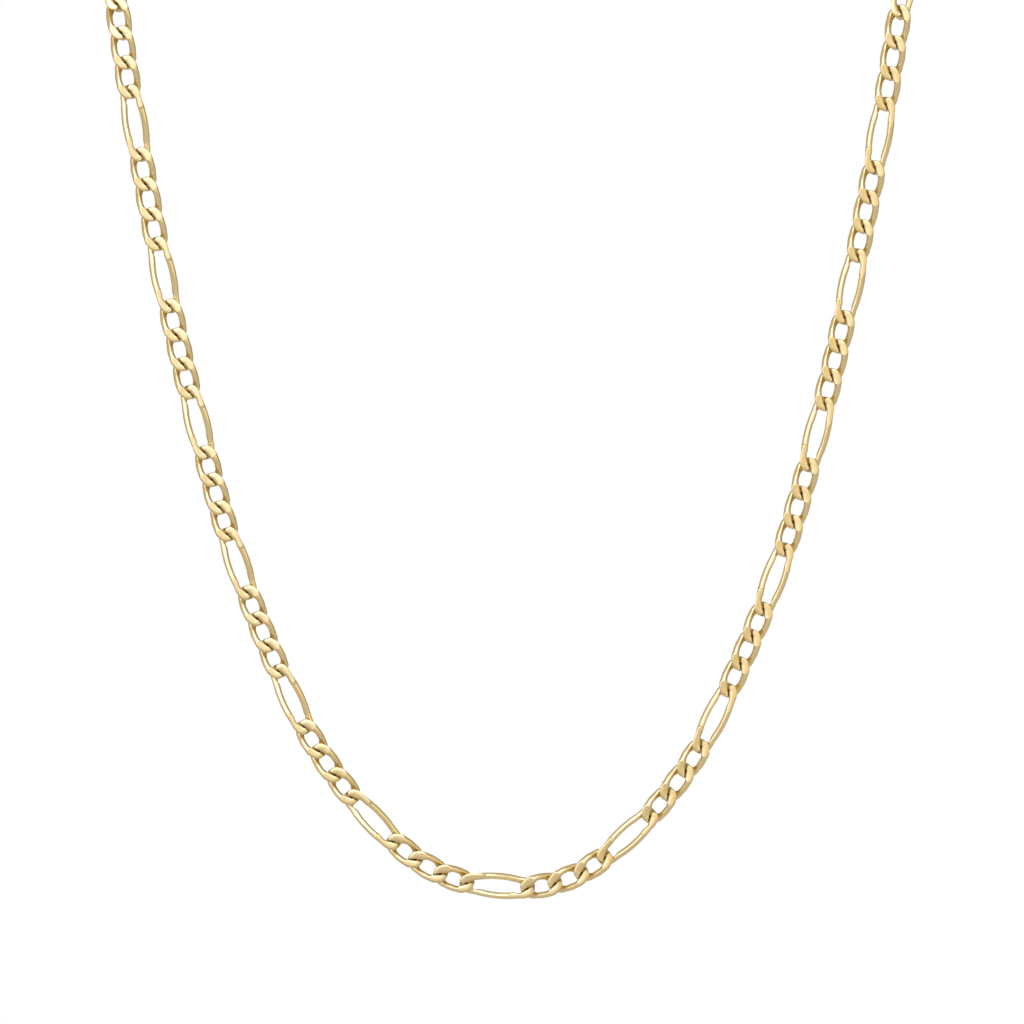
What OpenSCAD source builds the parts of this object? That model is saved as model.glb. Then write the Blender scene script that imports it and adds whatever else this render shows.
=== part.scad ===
// Figaro chain necklace, closed round the neck and hanging in a long U in front.
// Millimetres, +Z up, the front towards -Y. The origin is on the neck's axis, level with the nape.

/* [Necklace] */
// Length of the closed necklace with its clasp, to the nearest whole links
necklace_length = 508; // [480:1:530]
// Short links between two long ones
shorts_in_a_row = 3; // [2:1:4]

/* [Short links] */
// Length of a short link over its ends
short_length = 5.35; // [5:0.05:6]
// Width of a short link over its sides
short_width = 2.95; // [2.8:0.05:3.4]

/* [Long links] */
// Length of a long link over its ends
long_length = 9.35; // [8:0.05:12]
// Width of a long link over its sides
long_width = 3.05; // [2.8:0.05:3.6]

/* [Wire] */
// Width of the links' wire
wire_width = 0.78; // [0.6:0.01:0.8]
// Thickness of the links' wire
wire_thickness = 0.65; // [0.5:0.01:0.68]
// Thickness of the chain, which is pressed flat in front and behind
chain_thickness = 1.18; // [1.1:0.01:1.4]
// Turn of each end of a link out of the chain's flat, in degrees
end_twist = 46; // [40:1:50]
// Least space between two pieces of metal
clearance = 0.1; // [0.08:0.01:0.12]

/* [Rings] */
// Diameter of a jump ring over its wire
ring_diameter = 4.8; // [4.6:0.1:6]
// Thickness of a jump ring's wire
ring_wire = 0.8; // [0.6:0.05:0.8]

/* [Clasp] */
// Length of the clasp over its ends
clasp_length = 11.2; // [10:0.1:14]
// Width of the clasp over its claw
clasp_width = 5.6; // [5:0.1:7]
// Thickness of the clasp
clasp_thickness = 1.5; // [1.2:0.1:1.6]
// Width of the claw's wall round its opening
claw_wall = 1.15; // [0.9:0.05:1.3]
// Diameter of the hole that the clasp's ring goes through
eye_hole = 2.1; // [2:0.1:2.6]
// Width of the metal round that hole
eye_wall = 0.65; // [0.5:0.05:0.8]

/* [Hidden] */

// Straight steps round a ring or the clasp, and round a ring's wire
$fn = 48;
WIRE_STEPS = 24;

// The bend at a link's end: half width of its tip, how far back its shoulder is and how far out, all in
// widths of the wire, and where the side becomes its widest, as a share of half the link's length
SHORT_END = [0.35, 0.21, 0.84, 0.56];
LONG_END = [0.7, 0.38, 1.03, 0.43];
// The wire's outline: the width goes across the link, the thickness goes through it
SECTION = [[1, 0], [0.55, 1], [-0.55, 1], [-1, 0], [-0.55, -1], [0.55, -1]];
// Where a link is pressed, its wire is wider and thinner by these shares
PRESSED_WIDER = 0.05;
PRESSED_THINNER = 0.2;
// The press acts fully where the wire is this share of the half width off the flat
PRESSED_FROM = 0.45;

// The drape in front, from the left to the right: sideways, and down from the level of the nape
DRAPE = [
    [-46.0, -37.2], [-44.0, -50.2], [-40.6, -68.4], [-36.6, -85.7], [-31.9, -102.2],
    [-25.6, -118.0], [-21.4, -125.5], [-16.0, -132.3], [-9.3, -137.9], [-1.4, -140.2],
    [6.9, -139.2], [13.9, -134.4], [19.7, -127.9], [24.2, -120.4], [31.2, -104.0],
    [36.2, -87.0], [40.2, -69.6], [43.6, -52.0], [46.1, -36.5]
];
// How far the drape hangs in front of the neck's axis
DRAPE_AHEAD = 44;
// The right side of the neck, from the drape to the nape: [x, y, z, facing, leaning].
// The chain's flat faces the front at 0 and the back at 180, and leans upwards, all in degrees.
NECK_SIDE = [
    [47.9, -41.0, -26.8, 7, 5], [49.6, -35.0, -18.5, 18, 12], [51.0, -26.3, -12.0, 34, 20],
    [51.9, -14.9, -7.7, 54, 26], [51.3, -2.2, -5.0, 76, 30], [48.4, 10.4, -3.1, 98, 32],
    [43.0, 21.8, -1.6, 118, 34], [35.0, 31.5, -0.7, 137, 35], [24.7, 39.0, -0.2, 154, 35],
    [12.7, 43.6, 0.0, 168, 35]
];
NAPE = [0, 45, 0, 180, 35];
// Straight steps of the curve between two points of the route
STEPS = 16;
// How far the links are drawn apart, from the middle link to the clasp on each side:
// share of the links' own length, share of the way
SPREAD_LEFT = [
    [0, 0], [0.0735, 0.070], [0.147, 0.140], [0.2205, 0.210], [0.294, 0.280],
    [0.3675, 0.3525], [0.441, 0.427], [0.6, 0.584], [1, 1]
];
SPREAD_RIGHT = [
    [0, 0], [0.0735, 0.0688], [0.147, 0.139], [0.2205, 0.2108], [0.294, 0.2825],
    [0.3675, 0.3543], [0.441, 0.4267], [1, 1]
];
// How far each half of the chain is drawn out, as a share of its links' own length
DRAWN_LEFT = 0.9621;
DRAWN_RIGHT = 0.9732;

// Turn of the jump rings' planes out of the chain's flat, through the links' ends and the clasp's eye
RING_TURN = 80;
// Slack of a jump ring that lets it swing against the clasp where the nape curves
BEND_ROOM = 0.22;
// The clasp's thumb knob: its radius, and its place along the clasp from the claw's middle
KNOB_R = 0.6;
KNOB_BACK = 2.6;
// Half width of the narrow end of the claw's opening, and the bar between it and the eye
CLAW_NECK = 0.5;
CLAW_BAR = 1.1;

function unit(v) = v / norm(v);
function limited(x, most) = max(-most, min(most, x));
function xyz(row) = [row[0], row[1], row[2]];

// Rings and clasp, centred on the nape
RING_IN = ring_diameter / 2 - ring_wire;
SEAT_HALF = clasp_thickness / 2 / sin(RING_TURN);
RING_SEAT = RING_IN - sqrt(RING_IN ^ 2 - SEAT_HALF ^ 2);
RING_REACH = 2 * (RING_IN - RING_SEAT) - BEND_ROOM - clearance;
CLAW_R = clasp_width / 2;
CLAW_IN = CLAW_R - claw_wall;
CLAW_X = clasp_length / 2 - CLAW_R;
EYE_R = eye_hole / 2 + eye_wall;
EYE_X = EYE_R - clasp_length / 2;
CLASP_REACH = clasp_length - claw_wall - eye_wall - clearance;
CLASP_SHIFT = (claw_wall - eye_wall) / 2;
FASTENING = CLASP_REACH + 2 * RING_REACH;

// The links' own lengths from joint to joint, and how many make half the chain, the last of them a short one
SHORT_PITCH = short_length - 2 * wire_width - clearance;
LONG_PITCH = long_length - 2 * wire_width - clearance;
PATTERN = shorts_in_a_row + 1;
function taut_run(n) =
    let (longs = floor(n / PATTERN))
    LONG_PITCH / 2 + longs * LONG_PITCH + (n - longs) * SHORT_PITCH;
function links_for(run, n = 1) = taut_run(n) >= run && n % PATTERN > 0 ? n : links_for(run, n + 1);
HALF_LINKS = links_for((necklace_length - FASTENING) / (DRAWN_LEFT + DRAWN_RIGHT) - SHORT_PITCH / 2);
LEFT_WAY = DRAWN_LEFT * taut_run(HALF_LINKS);
RIGHT_WAY = DRAWN_RIGHT * taut_run(HALF_LINKS);
WHOLE_WAY = FASTENING + LEFT_WAY + RIGHT_WAY;

// The route: rows of points, the curve through them, and its length up to each step
function backwards(rows) = [for (i = [len(rows) - 1:-1:0]) rows[i]];
function other_side(rows) = [for (r = backwards(rows)) [-r[0], r[1], r[2], -r[3], r[4]]];
ROUTE = concat(
    other_side([NAPE]), other_side(NECK_SIDE),
    [for (p = DRAPE) [p[0], -DRAPE_AHEAD, p[1], 0, 0]],
    NECK_SIDE, [NAPE]
);
LAST = len(ROUTE) - 1;
function route_point(i) = xyz(ROUTE[i < 0 ? LAST - 1 : i > LAST ? 1 : i]);
function curve_point(i, t) =
    let (a = route_point(i - 1), b = route_point(i), c = route_point(i + 1), d = route_point(i + 2))
    0.5 * (2 * b + (c - a) * t + (2 * a - 5 * b + 4 * c - d) * t ^ 2 + (3 * b - a - 3 * c + d) * t ^ 3);
function curve_row(i, t) =
    let (a = ROUTE[i], b = ROUTE[i + 1])
    concat(curve_point(i, t), [a[3] * (1 - t) + b[3] * t, a[4] * (1 - t) + b[4] * t]);
CURVE = concat([for (i = [0:LAST - 1]) for (k = [0:STEPS - 1]) curve_row(i, k / STEPS)], [NAPE]);
function step_length(rows, i) = i + 1 < len(rows) ? norm(xyz(rows[i + 1]) - xyz(rows[i])) : 0;
function running_length(rows) = [
    for (i = 0, total = 0; i < len(rows); total = total + step_length(rows, i), i = i + 1)
    total
];
DRAWN = running_length(CURVE);
GROW = WHOLE_WAY / DRAWN[len(DRAWN) - 1];
function column(c, scale) = [for (i = [0:len(CURVE) - 1]) [GROW * DRAWN[i], scale * CURVE[i][c]]];
ROUTE_X = column(0, GROW);
ROUTE_Y = column(1, GROW);
ROUTE_Z = column(2, GROW);
ROUTE_FACE = column(3, 1);
ROUTE_LEAN = column(4, 1);
function on_route(s) = [lookup(s, ROUTE_X), lookup(s, ROUTE_Y), lookup(s, ROUTE_Z)];
function flat_at(s) =
    let (face = lookup(s, ROUTE_FACE), lean = lookup(s, ROUTE_LEAN))
    [cos(lean) * sin(face), -cos(lean) * cos(face), sin(lean)];

// A piece lies between two places on the route: its middle, its run, its right hand and its flat
function axes_between(from, to, flat) =
    let (a = on_route(from), b = on_route(to), run = unit(b - a), out = unit(flat - (flat * run) * run))
    [(a + b) / 2, run, cross(run, out), out];
function placed(p, axes) = axes[0] + p[0] * axes[1] + p[1] * axes[2] + p[2] * axes[3];

// Places of the joints between links on the route, from the clasp round to the clasp
function way_to_joint(i, way, spread) = way * lookup(taut_run(i) / taut_run(HALF_LINKS), spread);
MIDDLE = FASTENING / 2 + LEFT_WAY;
JOINTS = concat(
    [for (i = [HALF_LINKS:-1:0]) MIDDLE - way_to_joint(i, LEFT_WAY, SPREAD_LEFT)],
    [for (i = [0:HALF_LINKS]) MIDDLE + way_to_joint(i, RIGHT_WAY, SPREAD_RIGHT)]
);
function is_long(i) = (i - HALF_LINKS) % PATTERN == 0;
function link_axes(i) = axes_between(JOINTS[i], JOINTS[i + 1], flat_at((JOINTS[i] + JOINTS[i + 1]) / 2));

// A link lies along X with its flat towards Z. Its four quarters follow from one, half a turn apart.
function quarter(a, b, end) = [
    [a, end[0] * wire_width],
    [a - end[1] * wire_width, end[2] * wire_width],
    [a * end[3], b]
];
function outline(q) = concat(
    q, [for (p = backwards(q)) [-p[0], p[1]]],
    [for (p = q) [-p[0], -p[1]]], [for (p = backwards(q)) [p[0], -p[1]]]
);
function twisted(p, a) =
    let (turn = end_twist * p[0] / a)
    [p[0], p[1] * cos(turn), p[1] * sin(turn)];
function link_points(length, width, end) =
    let (
        a = (length - wire_width) / 2,
        b = (width - wire_width) / 2,
        path = [for (p = outline(quarter(a, b, end))) twisted(p, a)],
        n = len(path)
    )
    [
        for (i = [0:n - 1])
        let (
            p = path[i],
            run = unit(path[(i + 1) % n] - path[(i + n - 1) % n]),
            through = unit([0, 0, 1] - run[2] * run),
            across = cross(run, through),
            press = min(1, abs(p[2]) / (PRESSED_FROM * b)),
            half_width = wire_width / 2 * (1 + PRESSED_WIDER * press),
            half_through = wire_thickness / 2 * (1 - PRESSED_THINNER * press)
        )
        for (c = SECTION)
        let (q = p + c[0] * half_width * across + c[1] * half_through * through)
        [q[0], q[1], limited(q[2], chain_thickness / 2)]
    ];
SHORT_LINK = link_points(short_length, short_width, SHORT_END);
LONG_LINK = link_points(long_length, long_width, LONG_END);
SIDES = len(SECTION);
function ring_faces(first, count) = [
    for (i = [0:count - 1])
    for (j = [0:SIDES - 1])
    let (here = first + i * SIDES, next = first + (i + 1) % count * SIDES, k = (j + 1) % SIDES)
    each [[here + j, next + k, here + k], [here + j, next + j, next + k]]
];

// All the links of one kind, each a closed loop of its own
module links(longs, shape) {
    chosen = [for (i = [0:len(JOINTS) - 2]) if (is_long(i) == longs) i];
    points = [for (i = chosen) let (axes = link_axes(i)) for (p = shape) placed(p, axes)];
    faces = [for (i = [0:len(chosen) - 1]) each ring_faces(i * len(shape), len(shape) / SIDES)];
    polyhedron(points, faces, convexity = 10);
}

// Puts its children between two places on the route, along X and with their flat towards Z
module between(from, to, flat) {
    m = axes_between(from, to, flat);
    multmatrix([
        [m[1][0], m[2][0], m[3][0], m[0][0]],
        [m[1][1], m[2][1], m[3][1], m[0][1]],
        [m[1][2], m[2][2], m[3][2], m[0][2]]
    ]) children();
}

module jump_ring(turn) {
    rotate([turn, 0, 0])
        rotate_extrude()
            translate([RING_IN + ring_wire / 2, 0]) circle(d = ring_wire, $fn = WIRE_STEPS);
}

module clasp_outline() {
    difference() {
        union() {
            translate([CLAW_X, 0]) circle(r = CLAW_R);
            translate([EYE_X, 0]) circle(r = EYE_R);
            polygon([[EYE_X, -EYE_R], [CLAW_X, -CLAW_R], [CLAW_X, CLAW_R], [EYE_X, EYE_R]]);
            translate([CLAW_X - KNOB_BACK, CLAW_R - KNOB_R / 2]) circle(r = KNOB_R);
        }
        translate([CLAW_X, 0]) circle(r = CLAW_IN);
        polygon([
            [EYE_X + eye_hole / 2 + CLAW_BAR, -CLAW_NECK], [CLAW_X, -CLAW_IN],
            [CLAW_X, CLAW_IN], [EYE_X + eye_hole / 2 + CLAW_BAR, CLAW_NECK]
        ]);
        translate([EYE_X, 0]) circle(d = eye_hole);
    }
}

module short_links() {
    color([0.87, 0.72, 0.42]) links(false, SHORT_LINK);
}

module long_links() {
    color([0.90, 0.76, 0.47]) links(true, LONG_LINK);
}

// Joins the left half of the chain to the clasp's claw
module end_ring() {
    color([0.84, 0.68, 0.38])
        between(CLASP_REACH / 2, FASTENING / 2, flat_at(FASTENING / 2)) jump_ring(RING_TURN);
}

// Joins the right half of the chain to the clasp's eye
module clasp_ring() {
    color([0.84, 0.68, 0.38])
        between(WHOLE_WAY - FASTENING / 2, WHOLE_WAY - CLASP_REACH / 2,
                flat_at(WHOLE_WAY - FASTENING / 2)) jump_ring(-RING_TURN);
}

module clasp() {
    color([0.80, 0.63, 0.33])
        between(WHOLE_WAY - CLASP_REACH / 2, CLASP_REACH / 2, flat_at(WHOLE_WAY))
            translate([CLASP_SHIFT, 0, 0])
                linear_extrude(clasp_thickness, center = true) clasp_outline();
}

short_links();
long_links();
end_ring();
clasp_ring();
clasp();
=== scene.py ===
"""The looks of a worn figaro chain in yellow gold: three short links to each long one.

Each kind of link is drawn once as a twisted wire. A Geometry Nodes tree presses it flat,
sets one of it where each link of the CAD part hangs and cuts the slits where links meet.
The clasp and its two jump rings close the chain behind the neck.
"""

import math

import bpy
import bmesh
import numpy as np
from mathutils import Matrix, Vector


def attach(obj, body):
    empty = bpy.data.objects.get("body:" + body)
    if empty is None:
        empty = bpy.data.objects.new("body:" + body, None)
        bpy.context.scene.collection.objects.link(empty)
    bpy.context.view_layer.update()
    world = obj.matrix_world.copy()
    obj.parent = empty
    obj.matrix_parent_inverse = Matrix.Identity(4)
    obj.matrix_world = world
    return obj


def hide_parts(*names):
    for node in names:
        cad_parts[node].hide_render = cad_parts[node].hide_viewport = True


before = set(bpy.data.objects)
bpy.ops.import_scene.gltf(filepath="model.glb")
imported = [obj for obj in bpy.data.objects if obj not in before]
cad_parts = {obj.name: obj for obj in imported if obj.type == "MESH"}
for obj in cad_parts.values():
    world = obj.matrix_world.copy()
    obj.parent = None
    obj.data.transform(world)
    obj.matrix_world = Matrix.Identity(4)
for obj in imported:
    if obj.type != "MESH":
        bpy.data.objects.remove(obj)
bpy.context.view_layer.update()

MM = 0.001
FULL_TURN = 2 * math.pi

# The wire of a link, in millimetres
WIRE_WIDTH = 0.78
WIRE_THICKNESS = 0.66
CHAIN_THICKNESS = 1.18
END_TWIST = math.radians(46)
# How steeply the wire goes through from front to back in the bend at a link's end
PLUNGE = 0.5
# The heights at which a pressed face can cut the wire, in half thicknesses from its middle
LOWEST_CUT, HIGHEST_CUT = 0.2, 0.996

# Where links meet, their pressed lobes lie side by side with a fine slit between them, and
# the bend of one lies in the bend of the other. These sizes are in millimetres.
SLIT_AT_FACE = 0.22
SLIT_AT_FOOT = 0.07
TIP_PAST_JOINT = 0.85
LOBE_WIDER = 0.1
BENDS_APART = 0.04
# This one is on each side of the wire
BEND_THICKER = 0.22
SLIT_TURN = math.radians(27)
# The share of its thickness that the wire loses where it is pressed
LOBE_THINNER = 0.15
# How far the inner side of a bend slants along the link, to each millimetre of its thickness
BEND_SLANT = 0.5

# Each pair below is where one part of a joint begins and where it is full. The first are
# places along the link, in millimetres from the joint towards the link's tip,
LOBE_GROWS = (-1.2, -0.3)
SLIT_GROWS = (-1.6, -0.6)
HOLD_GROWS = (-1.6, -0.8)
NOOK_GROWS = (-1.1, -0.1)
# heights over the link's middle plane, towards the lobe's pressed face,
LOBE_RISES = (-0.01, 0.08)
SLIT_RISES = (0.2, 0.42)
SLIT_WIDENS = (0.2, 0.58)
HOLD_RISES = (-0.05, 0.12)
DARK_RISES = (0, 0.15)
# heights on both sides of that plane, between which a part fades out,
BEND_FADES = (0.22, 0.42)
NOOK_FADES = (0.1, 0.55)
# distances across the link, between which the bend fades out,
BEND_NARROWS = (0.3, 0.65)
# distances inwards from the middle of the wire, and beyond the middle of the slit,
BEND_INSIDE = (0.05, 0.3)
WALL_DARKENS = (-0.3, -0.1)
# and shares of half the link's length or width
ARM_DRAWN_OUT = (0.1, 0.75)
BEND_THINS = (0.2, 0.7)
PRESSED_FROM = (0, 0.45)
# The bend begins this far past the joint, in millimetres,
BEND_BEGINS = 0.1
# from here on its inner side is drawn up to the next link's bend
BEND_MEETS = -0.08
# and it grows by no more than this
LEAST_PULL = -0.1
# How soon a point on the lobe's inner side follows the slit, below 1 for sooner
SLIT_FOLLOWS = 0.7
# How dark the painted shade in the nook behind the slit is
NOOK_SHADE = 0.2

# Points round the wire: in each rounded side, and over each pressed face
ROUND_POINTS = 5
FACE_POINTS = 2
# Where the middle of a pressed face is, in the way once round the wire
MIDDLE_OF_FACE = (ROUND_POINTS + FACE_POINTS / 2) / (ROUND_POINTS + FACE_POINTS) / 2

# Each link's length and width in millimetres, its end's bend in the way that oval takes it,
# and the steps from each point of the bend to the next
SHORT_LINK = (5.2, 2.95, (0.35, 0.21, 0.84, 0.56), (5, 7, 10, 7, 5, 7))
LONG_LINK = (9.2, 3.05, (0.58, 0.4, 1.05, 0.43), (7, 12, 24, 12, 7, 6))

# A joint far beyond the end of its link, for what has no slit
FREE_JOINT = (1000.0, 0.0, 0.0), (0.0, 0.0, 0.0)
# No two links that meet have their middles this close
LEAST_PITCH = 2 * MM
# A point this close to a die's face is pressed
DIE_TOUCH = 0.002 * MM

# The jump rings, in millimetres
RING_DIAMETER = 4.8
RING_WIRE = 0.8
RING_POINTS = 96
RING_ROUND = 24
# The soldered seam: half its length as a turn, and the share of the wire that is filed off it
SEAM_TURN = 0.09
SEAM_THINNER = 0.05

# The outer edges of the clasp, each turning by more than this, are rounded off this far
CLASP_TURN = math.radians(50)
CLASP_EDGE = 0.28 * MM


def unit(vectors):
    """The vectors, each one long."""
    return vectors / np.linalg.norm(vectors, axis=-1, keepdims=True)


def ease(value, low, high):
    """From 0 at low to 1 at high, with soft ends."""
    share = np.clip((value - low) / (high - low), 0, 1)
    return share * share * (3 - 2 * share)


def points_of(mesh):
    """A mesh's points, one to a row."""
    points = np.zeros(len(mesh.vertices) * 3)
    mesh.vertices.foreach_get("co", points)
    return points.reshape(-1, 3)


def store_on(mesh, name, kind, domain, given):
    """Stores a number or a vector for each point or face of a mesh, under a name."""
    field = "vector" if kind == "FLOAT_VECTOR" else "value"
    layer = mesh.attributes.new(name, kind, domain)
    layer.data.foreach_set(field, np.array(given, np.float32).ravel())


def in_scene(name, data):
    """A new object in the scene for this mesh, camera or light."""
    made = bpy.data.objects.new(name, data)
    bpy.context.scene.collection.objects.link(made)
    return made


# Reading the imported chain


def loose_pieces(node):
    """The points of each separate solid of a CAD node, in metres."""
    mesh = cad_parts[node].data
    corners = np.zeros(len(mesh.loops), int)
    mesh.loops.foreach_get("vertex_index", corners)
    points, same = np.unique(np.round(points_of(mesh), 7), axis=0, return_inverse=True)
    faces = same.ravel()[corners].reshape(-1, 3)
    piece = np.arange(len(points))
    while True:
        lowest = piece[faces].min(1)
        joined = piece.copy()
        for corner in range(3):
            np.minimum.at(joined, faces[:, corner], lowest)
        joined = joined[joined]
        if (joined == piece).all():
            return [points[piece == number] for number in np.unique(piece)]
        piece = joined


def hang(points):
    """A solid's centre, the way it runs and the way its flat side faces, away from the neck."""
    centre = points.mean(0)
    _, ways = np.linalg.eigh(np.cov((points - centre).T))
    run, facing = ways[:, 2], ways[:, 0]
    away = np.array([centre[0], centre[1], 0.0])
    return centre, run, facing if facing @ away > 0 else -facing


def same_way_round(links):
    """The links, each of them running the same way round the neck."""
    centres = np.array([link[0] for link in links])
    middle = centres.mean(0)
    _, ways = np.linalg.eigh(np.cov((centres - middle).T))
    axis = ways[:, 0] * np.sign(ways[1, 0])
    turned = []
    for centre, run, *rest in links:
        onward = np.cross(centre - middle, run) @ axis > 0
        turned.append((centre, run if onward else -run, *rest))
    return turned


def joint(link, others, end):
    """Where a link's end meets the next link, and how it lies to the way halfway between them.

    First come the joint's place along and across the link, in millimetres from its middle,
    and the turn to the way halfway to the next link, and then the roll and the pitch to it.
    An end that holds a ring has a free joint.
    """
    centre, run, facing, half_length = link
    across = np.cross(facing, run)
    ahead = [other for other in others if (other[0] - centre) @ run * end > LEAST_PITCH]
    if not ahead:
        return FREE_JOINT
    nearest = min(ahead, key=lambda other: np.linalg.norm(other[0] - centre))
    next_centre, next_run, next_facing, next_half = nearest
    overlap = half_length + next_half - np.linalg.norm(next_centre - centre)
    if overlap < 0:
        return FREE_JOINT
    own_reach, next_reach = (half - overlap / 2 for half in (half_length, next_half))
    next_run = next_run if next_run @ run > 0 else -next_run
    meeting = (centre + run * end * own_reach + next_centre - next_run * end * next_reach) / 2
    halfway = run + next_run
    over = np.cross(facing + next_facing, halfway)
    turn = math.atan2(halfway @ across, halfway @ run)
    roll, pitch = over @ facing / (over @ across), halfway @ facing / (halfway @ run)
    place = (meeting - centre) @ run * end / MM, (meeting - centre) @ across / MM, turn
    return place, (roll, pitch, 0.0)


# Drawing the wire


def closed_curve(corners, steps):
    """A smooth closed curve through the corners, with the given steps after each."""
    apart = np.linalg.norm(np.roll(corners, -1, 0) - corners, axis=1) ** 0.5
    curve = []
    for i, (a, b) in enumerate(zip(corners, np.roll(corners, -1, 0))):
        before, after = corners[i - 1], corners[(i + 2) % len(corners)]
        t1 = apart[i - 1]
        t2 = t1 + apart[i]
        t3 = t2 + apart[(i + 1) % len(corners)]
        for t in t1 + (t2 - t1) * np.arange(steps[i]) / steps[i]:
            a1 = ((t1 - t) * before + t * a) / t1
            a2 = ((t2 - t) * a + (t - t1) * b) / (t2 - t1)
            a3 = ((t3 - t) * b + (t - t2) * after) / (t3 - t2)
            b1 = ((t2 - t) * a1 + t * a2) / t2
            b2 = ((t3 - t) * a2 + (t - t1) * a3) / (t3 - t1)
            curve.append(((t2 - t) * b1 + (t - t1) * b2) / (t2 - t1))
    return np.array(curve)


def oval(half_length, half_width, bend, steps):
    """The middle line of an untwisted link, seen from the front.

    The bend gives the place of its side, then its shoulder's way back and its rise, all in
    wire widths, and last the share of half the length at which the arm has its full width.
    """
    side, shoulder, rise, straight = bend
    quarter = [
        (half_length, side * WIRE_WIDTH),
        (half_length - shoulder * WIRE_WIDTH, rise * WIRE_WIDTH),
        (half_length * straight, half_width),
    ]
    half = quarter + [(-x, y) for x, y in reversed(quarter)]
    line = closed_curve(np.array(half + [(-x, -y) for x, y in half]), steps * 2)
    return line * np.array([half_length, half_width]) / np.abs(line).max(0)


def wire_section(top, bottom):
    """Angles round the wire, with corners where its two pressed faces will end."""
    top, bottom = (math.asin(min(height, HIGHEST_CUT)) for height in (top, bottom))
    stops = (-bottom, top, math.pi - top, math.pi + bottom, FULL_TURN - bottom)
    counts = (ROUND_POINTS, FACE_POINTS, ROUND_POINTS, FACE_POINTS)
    sides = [np.linspace(a, b, n, endpoint=False) for a, b, n in zip(stops, stops[1:], counts)]
    return np.concatenate(sides)


def drawn_link(length, width, bend, steps):
    """Rings of points round the twisted wire of a link, the wire's middle line, and how wide
    the pressed faces are at each ring, as the square of their share of the wire's width.
    """
    half_length, half_width = (length - WIRE_WIDTH) / 2, (width - WIRE_WIDTH) / 2
    flat = oval(half_length, half_width, bend, steps)
    turn = -END_TWIST * flat[:, 0] / half_length
    share = flat[:, 1] / half_width
    height = np.sign(share) * np.abs(share) ** PLUNGE * half_width * np.sin(turn)
    line = np.stack([flat[:, 0], flat[:, 1] * np.cos(turn), height], 1)
    step = unit(np.roll(line, -1, 0) - line)
    run = unit(step + np.roll(step, 1, 0))
    through = unit(np.array([0, 0, 1.0]) - run[:, 2:] * run)
    across = np.cross(run, through)
    pressed = ease(np.abs(line[:, 2]) / half_width, *PRESSED_FROM)
    from_joint = np.abs(line[:, 0]) - (length / 2 - TIP_PAST_JOINT)
    lobe = pressed * ease(from_joint, *LOBE_GROWS)
    outward = np.sign((across[:, :2] * line[:, :2]).sum(1))
    half_wide = (WIRE_WIDTH + LOBE_WIDER * lobe) / 2
    half_thick = WIRE_THICKNESS / 2 * (1 - LOBE_THINNER * pressed)
    half_thick += BEND_THICKER * (1 - ease(np.abs(share), *BEND_THINS))
    line = line + (outward * LOBE_WIDER / 2 * lobe)[:, None] * across
    rings, wide = [], []
    for i, point in enumerate(line):
        reach = through[i, 2] * half_thick[i]
        heights = ((CHAIN_THICKNESS / 2 + side * point[2]) / reach for side in (-1, 1))
        top, bottom = (max(LOWEST_CUT, height) for height in heights)
        angles = wire_section(top, bottom)[:, None]
        ring = np.cos(angles) * half_wide[i] * across[i]
        rings.append(point + ring + np.sin(angles) * half_thick[i] * through[i])
        wide.append(1 - min(top, bottom, 1) ** 2)
    return np.array(rings), line, np.array(wide)


def drawn_ring(diameter, wire):
    """The same of a jump ring, which has no pressed face and a seam that is a little thinner."""
    turn = np.linspace(0, FULL_TURN, RING_POINTS, endpoint=False)
    away = np.abs(np.angle(np.exp(1j * (turn - math.pi / 2))))
    seam = 1 - ease(away, 0, SEAM_TURN)
    around = np.linspace(0, FULL_TURN, RING_ROUND, endpoint=False)
    out = np.stack([np.cos(turn), np.sin(turn), 0 * turn], 1)
    radius = wire / 2 * (1 - SEAM_THINNER * seam)[:, None, None]
    middle = out * (diameter - wire) / 2
    rise = np.sin(around)[None, :, None] * np.array([0, 0, 1.0])
    rings = middle[:, None] + radius * (np.cos(around)[None, :, None] * out[:, None] + rise)
    return rings, middle, np.zeros(RING_POINTS)


def wire_object(name, rings, line, wide):
    """A closed tube through the rings of points, with a UV map along and round the wire."""
    count, points = rings.shape[:2]
    faces, places = [], []
    for i in range(count):
        for j in range(points):
            square = [(i, j), (i, j + 1), (i + 1, j + 1), (i + 1, j)]
            faces.append([a % count * points + b % points for a, b in square])
            places += [(a / count, b / points) for a, b in square]
    corners = rings.reshape(-1, 3)
    first, second, third = (corners[[face[n] for face in faces]] for n in (0, 1, 2))
    if (first * np.cross(second, third)).sum() < 0:
        faces = [face[::-1] for face in faces]
        places = [p for n in range(len(faces)) for p in places[4 * n:4 * n + 4][::-1]]
    mesh = bpy.data.meshes.new(name)
    mesh.from_pydata((corners * MM).tolist(), [], faces)
    wire = mesh.uv_layers.new(name="wire")
    wire.data.foreach_set("uv", np.array(places, np.float32).ravel())
    store_on(mesh, "middle", "FLOAT_VECTOR", "POINT", np.repeat(line, points, 0) * MM)
    store_on(mesh, "face_width", "FLOAT", "POINT", np.repeat(wide, points))
    mesh.polygons.foreach_set("use_smooth", [True] * len(faces))
    return bpy.data.objects.new(name, mesh)


# Node trees


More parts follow.
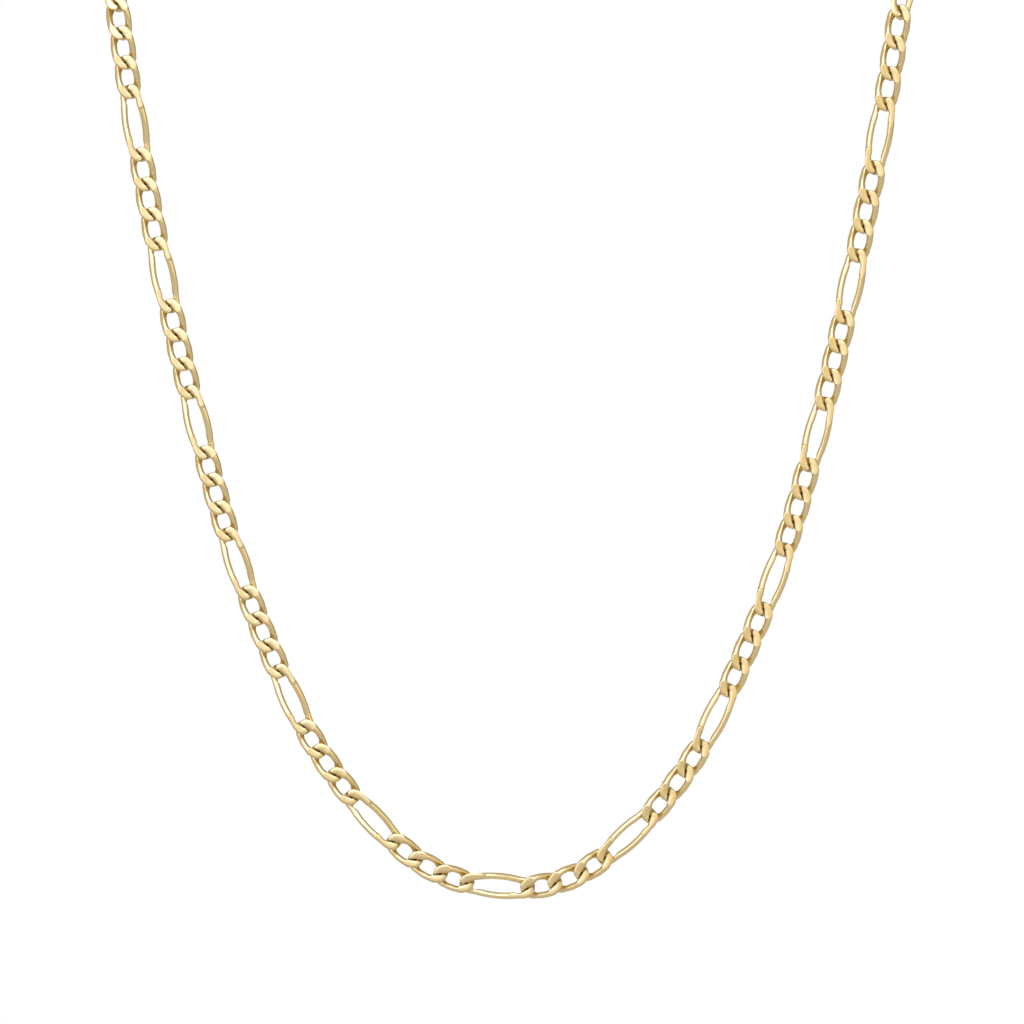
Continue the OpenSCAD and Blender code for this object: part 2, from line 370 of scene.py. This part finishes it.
class Tree:
    """Adds nodes to a tree; an expression on Values adds its Math nodes."""

    def __init__(self, tree):
        self.tree = tree

    def node(self, kind, settings=None, sockets=None):
        """One node: its settings are set first, then its sockets' values or links."""
        made = self.tree.nodes.new(kind)
        for name, setting in (settings or {}).items():
            setattr(made, name, setting)
        for key, given in (sockets or {}).items():
            self.put(made.inputs[key], given)
        return made

    def put(self, socket, given):
        """Links a Value or a socket to this socket, or sets a plain value on it."""
        if isinstance(given, Value):
            given = given.socket
        if isinstance(given, bpy.types.NodeSocket):
            self.tree.links.new(given, socket)
        else:
            socket.default_value = given

    def value(self, kind, settings=None, sockets=None, output=0):
        """The same node, as a Value of one of its outputs."""
        return Value(self, self.node(kind, settings, sockets).outputs[output])


class Value:
    """A socket that carries a number, with Python's operators on it."""

    def __init__(self, tree, socket):
        self.tree, self.socket = tree, socket

    def maths(self, operation, *others):
        """A Math node on this Value and the others."""
        sockets = dict(enumerate((self, *others)))
        return self.tree.value("ShaderNodeMath", {"operation": operation}, sockets)

    def __add__(self, other):
        return self.maths("ADD", other)

    __radd__ = __add__

    def __mul__(self, other):
        return self.maths("MULTIPLY", other)

    __rmul__ = __mul__

    def __sub__(self, other):
        return self.maths("SUBTRACT", other)

    def __rsub__(self, other):
        return self * -1 + other

    def __truediv__(self, other):
        return self.maths("DIVIDE", other)

    def __rtruediv__(self, other):
        return self.maths("POWER", -1) * other

    def __pow__(self, other):
        return self.maths("POWER", other)

    def __neg__(self):
        return self * -1

    def __abs__(self):
        return self.maths("ABSOLUTE")

    def sin(self):
        return self.maths("SINE")

    def cos(self):
        return self.maths("COSINE")

    def sign(self):
        return self.maths("SIGN")

    def least(self, other):
        return self.maths("MINIMUM", other)

    def most(self, other):
        return self.maths("MAXIMUM", other)

    def above(self, other):
        return self.maths("GREATER_THAN", other)

    def between(self, low, high):
        """From 0 at low to 1 at high, with soft ends."""
        settings = {"interpolation_type": "SMOOTHSTEP"}
        sockets = {"Value": self, "From Min": low, "From Max": high}
        return self.tree.value("ShaderNodeMapRange", settings, sockets)


def split(tree, vector):
    """The three Values of a vector."""
    parts = tree.node("ShaderNodeSeparateXYZ", {}, {0: vector})
    return [Value(tree, socket) for socket in parts.outputs]


def vector_of(tree, x, y, z):
    """The vector of three Values."""
    return tree.node("ShaderNodeCombineXYZ", {}, {0: x, 1: y, 2: z}).outputs[0]


def vectors(tree, operation, first, second, output=0):
    """A Vector Math node, where SCALE takes a Value for its second input."""
    sockets = {0: first, "Scale" if operation == "SCALE" else 1: second}
    return tree.node("ShaderNodeVectorMath", {"operation": operation}, sockets).outputs[output]


def mix(tree, factor, first, second):
    """The first colour where the factor is 0, and the second where it is 1."""
    sockets = {"Factor": factor, "A": first, "B": second}
    return tree.node("ShaderNodeMix", {"data_type": "RGBA"}, sockets).outputs["Result"]


def noise(tree, place, scale, detail):
    """A Value that wanders between 0 and 1 from place to place."""
    sockets = {"Vector": place, "Scale": scale, "Detail": detail}
    return tree.value("ShaderNodeTexNoise", {}, sockets)


def stored(tree, name):
    """A vector that is stored on the points under this name."""
    kind = "GeometryNodeInputNamedAttribute"
    return tree.node(kind, {"data_type": "FLOAT_VECTOR"}, {"Name": name}).outputs[0]


def store(tree, geometry, name, value, kind="FLOAT", domain="POINT"):
    """The geometry with the value stored on it under this name."""
    settings = {"data_type": kind, "domain": domain}
    sockets = {"Geometry": geometry, "Name": name, "Value": value}
    return tree.node("GeometryNodeStoreNamedAttribute", settings, sockets).outputs[0]


# Setting the links in place


def cut_slits(tree, at_face, at_foot, half_length):
    """How each point of a link moves for its slits, and how much painted shade it gets from
    lying deep in a slit, in a bend or in the nook behind.

    Each end's two lobes, one in front and one behind, get a straight inner side beside the
    joint, and the bend between them comes up to the bend of the next link. All is worked
    out in millimetres, with x towards the joint and z towards the lobe's pressed face.
    """
    own_x, own_y, own_z = (part / MM for part in split(tree, stored(tree, "on_link")))
    wire_x, wire_y, wire_z = (part / MM for part in split(tree, stored(tree, "middle")))
    end = wire_x.sign()
    ahead = end.above(0)
    joints = [
        split(tree, stored(tree, "place" + way)) + split(tree, stored(tree, "tilt" + way))
        for way in ("_ahead", "_behind")
    ]
    reach, shift, lean, roll, pitch, _ = (a * ahead + b * (1 - ahead) for a, b in zip(*joints))

    half = half_length / MM
    drawn_out = (reach + TIP_PAST_JOINT - half) * (1 - reach.above(half))
    drawn_out = drawn_out * (abs(wire_x) / half).between(*ARM_DRAWN_OUT)
    own_x = own_x + drawn_out * end + own_z * pitch
    wire_x = wire_x + drawn_out * end + wire_z * pitch
    own_y, wire_y = own_y + own_z * roll, wire_y + wire_z * roll
    in_bend = (wire_x * end - reach).above(BEND_BEGINS)
    side = (wire_z + (own_z - wire_z) * in_bend).sign()
    slit_turn = lean * side + SLIT_TURN
    sin, cos = slit_turn.sin(), slit_turn.cos()

    def beyond_slit(x, y):
        return (y - shift) * end * side * cos - (x * end - reach) * sin

    from_joint, z = own_x * end - reach, own_z * side
    beyond = beyond_slit(own_x, own_y)
    inner = (beyond - beyond_slit(wire_x, wire_y)) / (WIRE_WIDTH / 2)
    inner = inner.most(0).least(1) ** SLIT_FOLLOWS
    near = from_joint.between(*SLIT_GROWS)
    lobe = (wire_z * side).between(*LOBE_RISES)
    half_slit = (at_foot + (at_face - at_foot) * z.between(*SLIT_WIDENS)) * (0.5 / MM)
    edge = -half_slit
    move = z.between(*SLIT_RISES) * near * inner * lobe * (edge - beyond)
    over = (edge - beyond - move).least(0)
    held = z.between(*HOLD_RISES) * from_joint.between(*HOLD_GROWS) * lobe.most(in_bend)
    move = move + over * held

    past = from_joint * lean.cos() + (own_y - shift) * end * lean.sin()
    past = past - own_z * end * BEND_SLANT
    bend = ((wire_x - own_x) * end).between(*BEND_INSIDE)
    bend = bend * (1 - abs(own_z).between(*BEND_FADES))
    bend = bend * (1 - abs(own_y - shift).between(*BEND_NARROWS)) * past.above(BEND_MEETS)
    pull = (past - BENDS_APART / 2).most(LEAST_PULL) * bend

    run, facing = stored(tree, "run"), stored(tree, "facing")
    along = ((drawn_out - move * sin - pull) * end * MM).socket
    over_link = (move * cos * end * side * MM).socket
    offset = vectors(
        tree, "ADD", vectors(tree, "SCALE", run, along),
        vectors(tree, "SCALE", vectors(tree, "CROSS_PRODUCT", facing, run), over_link),
    )
    # Painted shade: points deep in a slit's walls, in the bend and in the nook behind the slit
    # are darkened, where the neighbouring links shade them
    wall = (beyond + move).between(*WALL_DARKENS) * z.between(*DARK_RISES)
    nook = from_joint.between(*NOOK_GROWS) * (1 - abs(own_z).between(*NOOK_FADES)) * NOOK_SHADE
    return offset, (near * lobe * inner * wall).most(bend).most(nook).socket


def setting_tree():
    """Presses a drawn link between two flat dies, sets one on every point and cuts its slits."""
    group = bpy.data.node_groups.new("press_and_set_links", "GeometryNodeTree")
    group.is_modifier = True
    face = group.interface
    named = [
        ("Hanging Points", "NodeSocketGeometry"), ("Drawn Link", "NodeSocketObject"),
        ("Chain Thickness", "NodeSocketFloat"), ("Slit At Face", "NodeSocketFloat"),
        ("Slit At Foot", "NodeSocketFloat"), ("Half Length", "NodeSocketFloat"),
        ("Tone Seed", "NodeSocketInt"), ("Gold", "NodeSocketMaterial"),
    ]
    for name, kind in named:
        face.new_socket(name, in_out="INPUT", socket_type=kind)
    face.new_socket("Links", in_out="OUTPUT", socket_type="NodeSocketGeometry")
    tree = Tree(group)
    given = tree.node("NodeGroupInput").outputs
    drawn = tree.node("GeometryNodeObjectInfo", {}, {"Object": given["Drawn Link"]})

    place = tree.node("GeometryNodeInputPosition").outputs[0]
    x, y, z = split(tree, place)
    half = Value(tree, given["Chain Thickness"]) / 2
    pressed = tree.node("GeometryNodeSetPosition", {}, {
        "Geometry": drawn.outputs["Geometry"],
        "Position": vector_of(tree, x, y, z.least(half).most(-half)),
    })
    on_die = abs(z).above(half - DIE_TOUCH)
    marked = store(tree, pressed.outputs[0], "pressed", on_die, domain="FACE")
    marked = store(tree, marked, "on_link", place, "FLOAT_VECTOR")

    turned = tree.node(
        "FunctionNodeAxesToRotation", {"primary_axis": "Z", "secondary_axis": "X"},
        {"Primary Axis": stored(tree, "facing"), "Secondary Axis": stored(tree, "run")},
    )
    links = tree.node("GeometryNodeInstanceOnPoints", {}, {
        "Points": given["Hanging Points"], "Instance": marked, "Rotation": turned.outputs[0],
    })
    chance = tree.node(
        "FunctionNodeRandomValue", {"data_type": "FLOAT"}, {"Seed": given["Tone Seed"]}
    )
    tone = next(output for output in chance.outputs if output.enabled)
    toned = store(tree, links.outputs[0], "tone", tone, domain="INSTANCE")
    real = tree.node("GeometryNodeRealizeInstances", {}, {0: toned})
    sizes = ("Slit At Face", "Slit At Foot", "Half Length")
    offset, crevice = cut_slits(tree, *(Value(tree, given[name]) for name in sizes))
    # The painted shade of slits, bends and nooks is stored on the points
    dark = store(tree, real.outputs[0], "crevice", crevice)
    cut = tree.node("GeometryNodeSetPosition", {}, {"Geometry": dark, "Offset": offset})
    golden = tree.node(
        "GeometryNodeSetMaterial", {}, {"Geometry": cut.outputs[0], "Material": given["Gold"]}
    )
    tree.node("NodeGroupOutput", {}, {0: golden.outputs[0]})
    return group


def hanging_points(name, hung):
    """One point for each solid, with the ways it runs and faces and its two joints."""
    mesh = bpy.data.meshes.new(name)
    mesh.from_pydata([tuple(link[0]) for link in hung], [], [])
    ways = {"run": [link[1] for link in hung], "facing": [link[2] for link in hung]}
    for way, end in (("_ahead", 1), ("_behind", -1)):
        joints = [joint(link, ALL_LINKS, end) for link in hung]
        ways["place" + way], ways["tilt" + way] = zip(*joints)
    for label, given in ways.items():
        store_on(mesh, label, "FLOAT_VECTOR", "POINT", given)
    return in_scene(name, mesh)


def set_links(name, node, drawn, hung, seed, gold):
    """Replaces the node's solids by fine ones, as one piece on the chain's only body."""
    points = hanging_points(name + "_points", hung)
    press = points.modifiers.new("press_and_set_links", "NODES")
    press.node_group = SETTING
    sizes = {
        "Drawn Link": drawn, "Chain Thickness": CHAIN_THICKNESS * MM,
        "Slit At Face": SLIT_AT_FACE * MM, "Slit At Foot": SLIT_AT_FOOT * MM,
        "Half Length": max(corner.co.x for corner in drawn.data.vertices),
        "Tone Seed": seed, "Gold": gold,
    }
    for item in SETTING.interface.items_tree:
        if item.name in sizes:
            press[item.identifier] = sizes[item.name]
    points.update_tag()
    graph = bpy.context.evaluated_depsgraph_get()
    mesh = bpy.data.meshes.new_from_object(points.evaluated_get(graph), depsgraph=graph)
    points.modifiers.clear()
    bpy.data.objects.remove(points)
    mesh.name = name
    crease_pressed_edges(mesh)
    piece = in_scene(name, mesh)
    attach(piece, "root")
    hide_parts(node)


def crease_pressed_edges(mesh):
    """Keeps the pressed faces flat and their edge against the round wire crisp."""
    pressed = np.zeros(len(mesh.polygons), np.float32)
    mesh.attributes["pressed"].data.foreach_get("value", pressed)
    corners = np.zeros(len(mesh.loops), int)
    mesh.loops.foreach_get("edge_index", corners)
    beside = np.repeat(pressed, [polygon.loop_total for polygon in mesh.polygons])
    high, low = np.zeros(len(mesh.edges)), np.ones(len(mesh.edges))
    np.maximum.at(high, corners, beside)
    np.minimum.at(low, corners, beside)
    mesh.edges.foreach_set("use_edge_sharp", (high - low > 0.5).tolist())
    mesh.polygons.foreach_set("use_smooth", (pressed < 0.5).tolist())


# Gold

GOLD = (0.915, 0.77, 0.445, 1)
DEEP_GOLD = (0.84, 0.66, 0.325, 1)
RING_GOLD = (0.90, 0.73, 0.45, 1)
CLASP_GOLD = (0.89, 0.72, 0.44, 1)
# Painted shade: the brown rim that darkens the pressed faces' edges
EDGE_SHADE_BROWN = (0.48, 0.31, 0.1, 1)
# Painted shade: the brown that the slits, bends and nooks are darkened to
SLIT_SHADE_BROWN = (0.45, 0.25, 0.01, 1)

# The pressed faces lean this much towards the slits between them,
PRESSED_LEAN = 0.09
# every link has rolled this much outwards,
OUTWARD_ROLL = 0.07
# and each one up to half of this more or less
LINK_ROLLS = 0.08
# A pressed face rounds off this far at its edges, in millimetres,
PRESSED_DOME = 0.11
# and gets a darker brown rim of painted shade between these shares of the way from its middle to
# its edge
EDGE_SHADE_SPREAD = (0.45, 1.05)
# A pressed face turns from polished to satin between these widths, as face_width gives them
SATIN_WIDENS = (0, 0.5)

# The way of the brushing as a cosine and a sine, and its strokes to the millimetre along the
# way and across it
BRUSH_WAY = (0.94, 0.34)
BRUSH_ALONG, BRUSH_ACROSS = 2, 34
# Drawing lines on the round wire, along a link and round it
LINES_ALONG, LINES_ROUND = 6, 60
# How far links lie apart in the noise of the brushing and in that of the drawing lines
BRUSH_APART, LINES_APART = 50, 40
# Grains and clouds of wear to a metre
GRAIN_SCALE, CLOUD_SCALE = 9000, 420
# The way round the wire is set back this far, so that a pressed face keeps its far edge
FACE_KEEPS = 0.0005

# How much deeper the gold gets in clouds, from link to link, in the brushing and in its grain
CLOUD_DEEP, LINK_DEEP, BRUSH_DEEP, GRAIN_DEEP = 0.5, 0.3, 0.25, 0.3
# How much of the painted shade browns shows, at the pressed faces' edges and in the slits
EDGE_SHADE_AMOUNT, SLIT_SHADE_AMOUNT = 0.35, 0.96
# How much rougher than the polish each mark is
SATIN_ROUGH, BRUSH_ROUGH, SLIT_ROUGH, CLOUD_ROUGH, LINE_ROUGH = 0.08, 0.06, 0.25, 0.05, 0.04
# and how high it stands, in millimetres
BRUSH_HIGH, GRAIN_HIGH, LINE_HIGH, CLOUD_HIGH = 0.0022, 0.0015, 0.002, 0.02


def chain_gold(name, gold, polish):
    """Polished wire with satin pressed faces, and painted shade in the slits and at the pressed
    faces' edges.
    """
    material = bpy.data.materials.new(name)
    material.use_nodes = True
    tree = Tree(material.node_tree)
    shader = material.node_tree.nodes["Principled BSDF"]
    pressed, face_width, crevice, tone = (
        tree.value("ShaderNodeAttribute", {"attribute_name": mark}, output="Fac")
        for mark in ("pressed", "face_width", "crevice", "tone")
    )
    on_link = tree.node("ShaderNodeAttribute", {"attribute_name": "on_link"}).outputs["Vector"]
    x, y, _ = (part / MM for part in split(tree, on_link))
    along, around, _ = split(tree, tree.node("ShaderNodeUVMap", {"uv_map": "wire"}).outputs[0])
    spot = tree.node("ShaderNodeTexCoord").outputs["Object"]

    cos, sin = BRUSH_WAY
    stroke = (x * cos + y * sin) * BRUSH_ALONG, (y * cos - x * sin) * BRUSH_ACROSS
    brushed = noise(tree, vector_of(tree, *stroke, tone * BRUSH_APART), 1, 3)
    line = along * LINES_ALONG, around * LINES_ROUND
    drawn = noise(tree, vector_of(tree, *line, tone * LINES_APART), 1, 2)
    grain = noise(tree, spot, GRAIN_SCALE, 3)
    cloud = noise(tree, spot, CLOUD_SCALE, 2)

    satin = pressed * face_width.between(*SATIN_WIDENS)
    # Painted shade in the slits, bends and nooks, off the pressed faces; it also makes them
    # rougher
    slit = crevice * (1 - pressed)
    half_round = (around * 2 - FACE_KEEPS).maths("FRACT") * (ROUND_POINTS + FACE_POINTS)
    # 0 in the middle of a pressed face and 1 at its edges
    from_middle = abs((half_round - ROUND_POINTS) / (FACE_POINTS / 2) - 1).least(1)

    deep = cloud * CLOUD_DEEP + tone * LINK_DEEP
    deep = (deep + satin * (brushed * BRUSH_DEEP + grain * GRAIN_DEEP)).least(1)
    colour = mix(tree, deep, gold, DEEP_GOLD)
    # Painted shade: a brown rim darkens each pressed face towards its edges
    edge = satin * from_middle.between(*EDGE_SHADE_SPREAD)
    colour = mix(tree, edge * EDGE_SHADE_AMOUNT, colour, EDGE_SHADE_BROWN)
    # the painted shade turns the slits, bends and nooks brown
    colour = mix(tree, slit * SLIT_SHADE_AMOUNT, colour, SLIT_SHADE_BROWN)

    rough = satin * (brushed * BRUSH_ROUGH + SATIN_ROUGH) + slit * SLIT_ROUGH
    rough = rough + cloud * CLOUD_ROUGH + drawn * LINE_ROUGH + polish

    leaning = abs(y) * PRESSED_LEAN + y * ((tone - 0.5) * LINK_ROLLS - OUTWARD_ROLL)
    domed = face_width * from_middle ** 3 * -PRESSED_DOME
    worn = satin * (brushed * BRUSH_HIGH + grain * GRAIN_HIGH) + (1 - satin) * drawn * LINE_HIGH
    height = satin * (leaning + domed) + cloud * CLOUD_HIGH + worn
    bump = tree.node("ShaderNodeBump", {}, {"Strength": 1.0, "Distance": MM, "Height": height})
    tree.put(shader.inputs["Base Color"], colour)
    tree.put(shader.inputs["Roughness"], rough)
    tree.put(shader.inputs["Normal"], bump.outputs[0])
    shader.inputs["Metallic"].default_value = 1.0
    return material


# The clasp

# A face belongs to the clasp's flat sides where its cosine to the way they face is over this
FLAT_SIDE = 0.99
# How much of a pressed face's dome and satin its sides have, as face_width has it
CLASP_FACE = 0.5
# Two faces that turn by more than this meet at a sharp edge
CREASE_TURN = math.radians(35)


def clasp_piece(gold):
    """The CAD clasp with its outer edges rounded."""
    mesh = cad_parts["clasp"].data.copy()
    mesh.name = "plain_clasp"
    mesh.materials.clear()
    shape = bmesh.new()
    shape.from_mesh(mesh)
    bmesh.ops.remove_doubles(shape, verts=shape.verts, dist=0.001 * MM)
    bmesh.ops.dissolve_limit(
        shape, angle_limit=math.radians(1), verts=shape.verts, edges=shape.edges
    )
    rim = [edge for edge in shape.edges if edge.calc_face_angle_signed(0) > CLASP_TURN]
    bmesh.ops.bevel(
        shape, geom=rim, offset=CLASP_EDGE, offset_type="OFFSET", segments=5, profile=0.5,
        affect="EDGES", clamp_overlap=False,
    )
    bmesh.ops.triangulate(shape, faces=[face for face in shape.faces if len(face.verts) > 4])
    shape.to_mesh(mesh)
    shape.free()

    points = points_of(mesh)
    centre, run, facing = hang(points)
    own = (points - centre) @ np.stack([run, np.cross(facing, run), facing], 1)
    flat = [abs(Vector(facing) @ polygon.normal) > FLAT_SIDE for polygon in mesh.polygons]
    store_on(mesh, "on_link", "FLOAT_VECTOR", "POINT", own)
    store_on(mesh, "pressed", "FLOAT", "FACE", flat)
    # The clasp has no painted shade of slits
    store_on(mesh, "crevice", "FLOAT", "POINT", np.zeros(len(points)))
    store_on(mesh, "face_width", "FLOAT", "POINT", np.full(len(points), CLASP_FACE))
    wire = mesh.uv_layers.new(name="wire")
    wire.data.foreach_set("uv", [MIDDLE_OF_FACE] * 2 * len(mesh.loops))
    mesh.polygons.foreach_set("use_smooth", [True] * len(mesh.polygons))
    mesh.set_sharp_from_angle(angle=CREASE_TURN)
    mesh.materials.append(gold)
    piece = in_scene("plain_clasp", mesh)
    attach(piece, "root")
    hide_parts("clasp")


# The set: camera, floor and light

PHOTO_MIDDLE = Vector((0.37, -44, -95.92)) * MM
PHOTO_WIDTH = 120.47 * MM
CAMERA_AWAY = 0.7

FLOOR_HEIGHT = -0.32
FLOOR_RADIUS = 1.2
FLOOR_COLOUR = (0.86, 0.85, 0.83, 1)

# The way to the large soft light, above and behind the camera
KEY_WAY = (0.05, -0.78, 0.62)
# How bright the room is at eye level, and what each light in it adds or each shade takes away
ROOM_GLOW, SKY_GLOW = 0.65, 0.04
FRONT_GLOW, LIT_GLOW, KEY_GLOW, STRIP_GLOW = 0.39, 0.44, 0.15, 0.4
LOW_SHADE, BACK_SHADE, RIGHT_SHADE = 0.34, 0.2, 0.1
ROOM_TINT = (1, 0.87, 0.63, 1)
FRONT_TINT = (1, 0.86, 0.62, 1)
LIT_TINT = (0.92, 1.07, 1.45, 1)


def photo_camera():
    """The photo's view, from straight ahead."""
    data = bpy.data.cameras.new("photo_camera")
    data.sensor_width = 36
    data.lens = data.sensor_width * CAMERA_AWAY / PHOTO_WIDTH
    data.clip_start, data.clip_end = 0.01, 20
    camera = in_scene("photo_camera", data)
    camera.location = PHOTO_MIDDLE - Vector((0, CAMERA_AWAY, 0))
    camera.rotation_euler = (math.pi / 2, 0, 0)
    bpy.context.scene.camera = camera


def pale_floor():
    """A plain round floor, far enough below to leave the photo's view clear."""
    shape = bmesh.new()
    bmesh.ops.create_circle(shape, cap_ends=True, radius=FLOOR_RADIUS, segments=96)
    mesh = bpy.data.meshes.new("pale_floor")
    shape.to_mesh(mesh)
    shape.free()
    for corner in mesh.vertices:
        corner.co.z = FLOOR_HEIGHT
    material = bpy.data.materials.new("pale_floor")
    material.use_nodes = True
    tree = Tree(material.node_tree)
    shader = material.node_tree.nodes["Principled BSDF"]
    fleck = noise(tree, tree.node("ShaderNodeTexCoord").outputs["Object"], 60, 3)
    tree.put(shader.inputs["Roughness"], fleck * 0.1 + 0.6)
    shader.inputs["Base Color"].default_value = FLOOR_COLOUR
    mesh.materials.append(material)
    floor = in_scene("pale_floor", mesh)


def studio_light():
    """White behind the chain for the camera, and a room with lights for the gold to mirror."""
    world = bpy.data.worlds.new("studio")
    bpy.context.scene.world = world
    world.use_nodes = True
    tree = Tree(world.node_tree)
    way = tree.node("ShaderNodeTexCoord").outputs["Generated"]
    # A way's parts are x to the right, y away from the camera and z up
    x, y, z = split(tree, way)
    front, level = (-y).between(0.45, 0.85), z.between(-0.42, -0.12)
    upper, left = z.between(0, 0.4), (-x).between(-0.1, 0.2)
    key = Value(tree, vectors(tree, "DOT_PRODUCT", way, KEY_WAY, "Value")).between(0.86, 0.97)
    strips = abs(x).between(0.4, 0.65) - abs(x).between(0.85, 0.97)
    strips = strips * (-y).between(0, 0.3) * (1 - abs(z).between(0.4, 0.75)) * (1 - upper)
    lit = front * (upper * 0.7 + left * 0.65)
    low = (-y).between(0.3, 0.75) * (-z).between(0.2, 0.5)
    back, right = y.between(-0.1, 0.5), x.between(0, 0.4)
    glow = z * SKY_GLOW + ROOM_GLOW + front * level * FRONT_GLOW + lit * LIT_GLOW
    glow = glow + key * KEY_GLOW + strips * STRIP_GLOW
    glow = glow - low * LOW_SHADE - back * BACK_SHADE - right * RIGHT_SHADE
    tint = mix(tree, front * level, ROOM_TINT, FRONT_TINT)
    tint = mix(tree, lit.most(key), tint, LIT_TINT)

    seen = tree.node("ShaderNodeLightPath").outputs["Is Camera Ray"]
    room = tree.node("ShaderNodeBackground", {}, {"Color": tint, "Strength": glow})
    white = tree.node("ShaderNodeBackground", {}, {"Color": (1, 1, 1, 1), "Strength": 1.0})
    both = tree.node(
        "ShaderNodeMixShader", {}, {0: seen, 1: room.outputs[0], 2: white.outputs[0]}
    )
    output = next(node for node in world.node_tree.nodes if node.type == "OUTPUT_WORLD")
    tree.put(output.inputs["Surface"], both.outputs[0])
    view = bpy.context.scene.view_settings
    view.view_transform = "Standard"
    view.look = "None"


def soft_box(name, place, target, width, height, power):
    """A soft rectangular light that points at the target."""
    data = bpy.data.lights.new(name, "AREA")
    data.shape = "RECTANGLE"
    data.size, data.size_y = width, height
    data.energy = power
    light = in_scene(name, data)
    light.location = Vector(place)
    aim = Vector(target) - light.location
    light.rotation_euler = aim.to_track_quat("-Z", "Y").to_euler()


# Building the chain

SETTING = setting_tree()
short_gold = chain_gold("short_link_gold", GOLD, polish=0.12)
long_gold = chain_gold("long_link_gold", GOLD, polish=0.11)
ring_gold = chain_gold("ring_gold", RING_GOLD, polish=0.16)
clasp_gold = chain_gold("clasp_gold", CLASP_GOLD, polish=0.18)

short_links, long_links = (
    [(*hang(points), length / 2 * MM) for points in loose_pieces(node)]
    for node, (length, *_) in (("short_links", SHORT_LINK), ("long_links", LONG_LINK))
)
ALL_LINKS = same_way_round(short_links + long_links)
short_links, long_links = ALL_LINKS[:len(short_links)], ALL_LINKS[len(short_links):]

short = wire_object("drawn_short_link", *drawn_link(*SHORT_LINK))
long = wire_object("drawn_long_link", *drawn_link(*LONG_LINK))
ring = wire_object("drawn_jump_ring", *drawn_ring(RING_DIAMETER, RING_WIRE))
both_kinds = (
    ("short_gold_links", "short_links", short, short_links, 3, short_gold, "short_link_gold"),
    ("long_gold_links", "long_links", long, long_links, 5, long_gold, "long_link_gold"),
)
for name, node, drawn, hung, seed, gold, slot in both_kinds:
    set_links(name, node, drawn, hung, seed, gold)
# A ring's run is level, and its half length is below nothing, so that it finds no joint and
# stays round
for name, node, seed in (("end_jump_ring", "end_ring", 7), ("clasp_jump_ring", "clasp_ring", 8)):
    centre, _, facing = hang(loose_pieces(node)[0])
    hung = [(centre, unit(np.cross(facing, (0.0, 0.0, 1.0))), facing, -RING_DIAMETER * MM)]
    set_links(name, node, ring, hung, seed, ring_gold)
clasp_piece(clasp_gold)

photo_camera()
pale_floor()
studio_light()
soft_box("upper_key", (0.05, -0.85, 0.55), PHOTO_MIDDLE, width=0.7, height=0.4, power=1)
